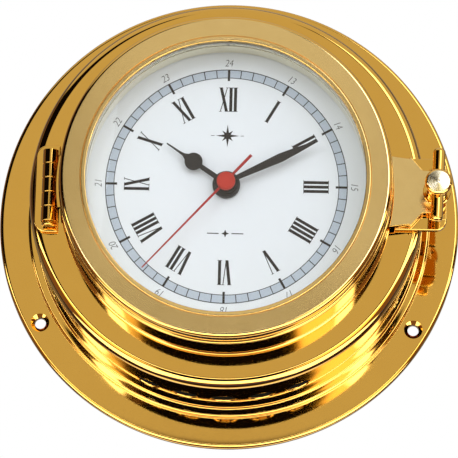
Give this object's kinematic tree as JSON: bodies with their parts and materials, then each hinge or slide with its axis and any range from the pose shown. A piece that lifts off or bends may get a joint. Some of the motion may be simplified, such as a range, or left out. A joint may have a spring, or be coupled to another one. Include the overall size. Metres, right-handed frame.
{
  "type": "ships deck clock",
  "caption": "Round brass bulkhead clock with a hinged glazed bezel, swing-bolt latch, Roman dial and quartz movement.",
  "frame": {"origin": "centre of the flange's back plane, where the clock meets the bulkhead", "axes": "+Z towards 12 o'clock, +X towards 3 o'clock, the dial faces -Y"},
  "size_m": [0.18, 0.073, 0.18],
  "materials": {
    "polished_brass": "mirror polished, lacquered",
    "satin_brass": "fine satin",
    "bright_steel": "bright",
    "black_plastic": "moulded",
    "white_dial": "satin white lacquer on metal",
    "mineral_glass": "polished",
    "clear_gasket": "soft, translucent",
    "cell_jacket": "printed steel jacket",
    "board_green": "solder mask",
    "copper_wire": "enamelled winding wire",
    "black_hand": "satin black lacquer",
    "red_hand": "red lacquer",
    "gear_plastic": "acetal"
  },
  "bodies": {
    "case": {"case_shell": "polished_brass", "side_screw_1": "bright_steel", "side_screw_2": "bright_steel", "side_screw_3": "bright_steel", "dial_carrier": "black_plastic", "dial_plate": "white_dial", "reflector_ring": "polished_brass", "case_hinge_leaf": "polished_brass", "hinge_pin": "polished_brass", "latch_bracket": "polished_brass", "latch_pivot_pin": "bright_steel", "movement_front_case": "black_plastic", "movement_rear_cover": "black_plastic", "threaded_bush": "polished_brass", "dial_nut": "black_plastic", "battery_cell": "cell_jacket", "negative_contact": "bright_steel", "positive_contact": "bright_steel", "circuit_board": "board_green", "quartz_crystal": "bright_steel", "coil": "copper_wire", "coil_core": "bright_steel", "stator": "bright_steel"},
    "bezel": {"bezel_ring": "satin_brass", "glass": "mineral_glass", "glass_gasket": "clear_gasket", "glass_retaining_ring": "polished_brass", "bezel_hinge_leaf": "polished_brass", "bezel_latch_lug": "satin_brass"},
    "latch_bolt": {"swing_bolt": "polished_brass"},
    "latch_washer": {"nut_washer": "polished_brass"},
    "latch_nut": {"dog_nut": "satin_brass", "nut_cross_bar": "polished_brass"},
    "second": {"second_hand": "red_hand", "second_wheel": "gear_plastic"},
    "third": {"third_wheel": "gear_plastic"},
    "minute": {"minute_hand": "black_hand", "centre_wheel": "gear_plastic"},
    "intermediate": {"intermediate_wheel": "gear_plastic"},
    "rotor_body": {"rotor": "bright_steel"},
    "motion": {"minute_wheel": "gear_plastic"},
    "hour": {"hour_hand": "black_hand", "hour_wheel": "gear_plastic"},
    "setting": {"setting_knob": "gear_plastic"}
  },
  "joints": [
    {"name": "bezel_hinge", "type": "hinge", "parent": "case", "child": "bezel", "pos_m": [-0.0667, -0.0526, 0], "axis": [0, 0, -1], "range_deg": [0, 120]},
    {"name": "latch_swing", "type": "hinge", "parent": "case", "child": "latch_bolt", "pos_m": [0.079, -0.048, 0], "axis": [0, 0, 1], "range_deg": [0, 90]},
    {"name": "nut_travel", "type": "slide", "parent": "latch_bolt", "child": "latch_washer", "axis": [0, -1, 0], "range_m": [0, 0.003]},
    {"name": "nut_turn", "type": "hinge", "parent": "latch_washer", "child": "latch_nut", "pos_m": [0.079, -0.0636, 0], "axis": [0, -1, 0], "range_deg": [0, 1080]},
    {"name": "second_hand_turn", "type": "hinge", "parent": "case", "child": "second", "pos_m": [0, -0.0626, 0], "axis": [0, 1, 0], "continuous": true},
    {"name": "third_wheel_turn", "type": "hinge", "parent": "case", "child": "third", "pos_m": [-0.01269, -0.041, 0.00462], "axis": [0, 1, 0], "continuous": true},
    {"name": "minute_hand_turn", "type": "hinge", "parent": "case", "child": "minute", "pos_m": [0, -0.0608, 0], "axis": [0, 1, 0], "continuous": true},
    {"name": "intermediate_wheel_turn", "type": "hinge", "parent": "case", "child": "intermediate", "pos_m": [0.0045, -0.036, 0.00779], "axis": [0, 1, 0], "continuous": true},
    {"name": "rotor_turn", "type": "hinge", "parent": "case", "child": "rotor_body", "pos_m": [0.01359, -0.039, 0.01304], "axis": [0, 1, 0], "continuous": true},
    {"name": "minute_wheel_turn", "type": "hinge", "parent": "case", "child": "motion", "pos_m": [0.00207, -0.046, -0.00773], "axis": [0, 1, 0], "continuous": true},
    {"name": "hour_hand_turn", "type": "hinge", "parent": "case", "child": "hour", "pos_m": [0, -0.059, 0], "axis": [0, 1, 0], "continuous": true},
    {"name": "setting_knob_turn", "type": "hinge", "parent": "case", "child": "setting", "pos_m": [0.01006, -0.03, -0.01064], "axis": [0, 1, 0], "continuous": true}
  ],
  "couplings": [
    {"joint": "third_wheel_turn", "follows": "second_hand_turn", "ratio": -0.125},
    {"joint": "minute_hand_turn", "follows": "second_hand_turn", "ratio": 0.016667},
    {"joint": "intermediate_wheel_turn", "follows": "second_hand_turn", "ratio": -5},
    {"joint": "rotor_turn", "follows": "second_hand_turn", "ratio": 30},
    {"joint": "minute_wheel_turn", "follows": "second_hand_turn", "ratio": -0.0055556},
    {"joint": "hour_hand_turn", "follows": "second_hand_turn", "ratio": 0.0013889},
    {"joint": "setting_knob_turn", "follows": "second_hand_turn", "ratio": 0.013333},
    {"joint": "nut_turn", "follows": "nut_travel", "rad_per_m": 6283.2}
  ]
}
